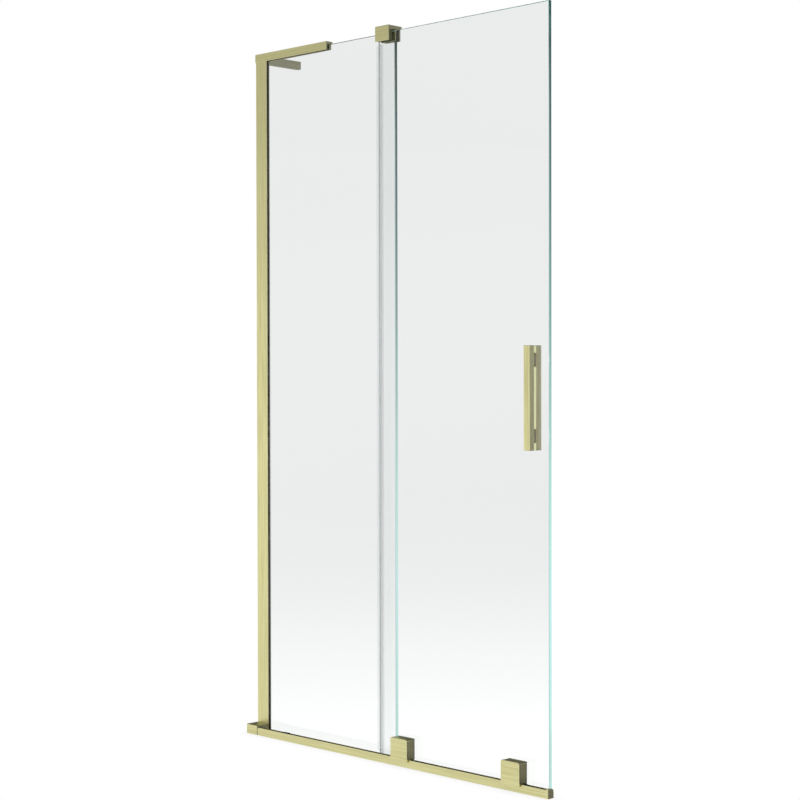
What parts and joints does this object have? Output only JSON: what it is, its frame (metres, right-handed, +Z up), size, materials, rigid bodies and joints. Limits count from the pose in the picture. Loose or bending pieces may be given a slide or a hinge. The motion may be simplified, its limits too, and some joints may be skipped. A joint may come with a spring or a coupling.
{
  "type": "sliding bath screen",
  "caption": "Frameless bath screen in brushed pale gold: a fixed clear pane on the wall and a sliding clear pane on rollers along a rail on the bath rim.",
  "frame": {"origin": "foot of the wall profile at its wall face, on the fixed pane's mid-plane and at the level of the bath rim", "axes": "+X runs along the screen away from the wall, -Y is the front with the rail and the sliding pane, +Z is up"},
  "size_m": [0.873, 0.1646, 1.5109],
  "materials": {
    "gold_upright": "pale gold anodised, brushed along its height",
    "gold_level": "pale gold anodised, brushed along its length",
    "gold_turned": "pale gold, turned and satin",
    "clear_glass": "clear toughened glass with ground edges",
    "clear_seal": "clear flexible vinyl",
    "black_rubber": "matt black",
    "dark_nylon": "dark olive nylon",
    "white_nylon": "natural nylon",
    "stainless_steel": "plain stainless",
    "bearing_steel": "ground bearing steel"
  },
  "bodies": {
    "frame": {"wall_profile": "gold_upright", "rail_end_gasket": "black_rubber", "glazing_gaskets": "black_rubber", "fixed_pane": "clear_glass", "pane_setting_strip": "black_rubber", "clamp_bar": "gold_level", "clamp_liner": "black_rubber", "clamp_screws": "stainless_steel", "wall_arm": "gold_level", "arm_bracket": "stainless_steel", "arm_joint_screw": "stainless_steel", "arm_lock_screws": "stainless_steel", "bottom_rail": "gold_level", "rail_end_block": "gold_level", "end_block_dowels": "stainless_steel", "rail_end_cap": "gold_level", "rail_stops": "black_rubber", "rail_stop_screws": "stainless_steel", "guide_block": "gold_level", "guide_insert": "dark_nylon", "guide_gasket": "black_rubber", "guide_screws": "stainless_steel"},
    "door": {"sliding_pane": "clear_glass", "edge_seal": "clear_seal", "drip_seal": "clear_seal", "handle_front_bar": "gold_upright", "handle_rear_bar": "gold_upright", "handle_pads": "black_rubber", "handle_strips": "clear_seal", "handle_sleeves": "white_nylon", "handle_studs": "stainless_steel", "handle_screws": "stainless_steel", "left_roller_body": "gold_level", "left_roller_cover": "gold_level", "left_roller_gasket": "black_rubber", "left_glass_sleeve": "white_nylon", "left_axle": "stainless_steel", "left_disc_washer": "black_rubber", "left_clamp_disc": "gold_turned", "left_clamp_screw": "stainless_steel", "right_roller_body": "gold_level", "right_roller_cover": "gold_level", "right_roller_gasket": "black_rubber", "right_glass_sleeve": "white_nylon", "right_axle": "stainless_steel", "right_disc_washer": "black_rubber", "right_clamp_disc": "gold_turned", "right_clamp_screw": "stainless_steel"},
    "left_wheel": {"left_wheel_tyre": "white_nylon", "left_wheel_bearing": "bearing_steel"},
    "right_wheel": {"right_wheel_tyre": "white_nylon", "right_wheel_bearing": "bearing_steel"}
  },
  "joints": [
    {"name": "door_slide", "type": "slide", "parent": "frame", "child": "door", "axis": [1, 0, 0], "range_m": [-0.34, 0]},
    {"name": "left_wheel_spin", "type": "hinge", "parent": "door", "child": "left_wheel", "pos_m": [0.4813, -0.0304, 0.022], "axis": [0, 1, 0], "continuous": true},
    {"name": "right_wheel_spin", "type": "hinge", "parent": "door", "child": "right_wheel", "pos_m": [0.7818, -0.0304, 0.022], "axis": [0, 1, 0], "continuous": true}
  ],
  "couplings": [
    {"joint": "left_wheel_spin", "follows": "door_slide", "rad_per_m": 72.727},
    {"joint": "right_wheel_spin", "follows": "door_slide", "rad_per_m": 72.727}
  ]
}
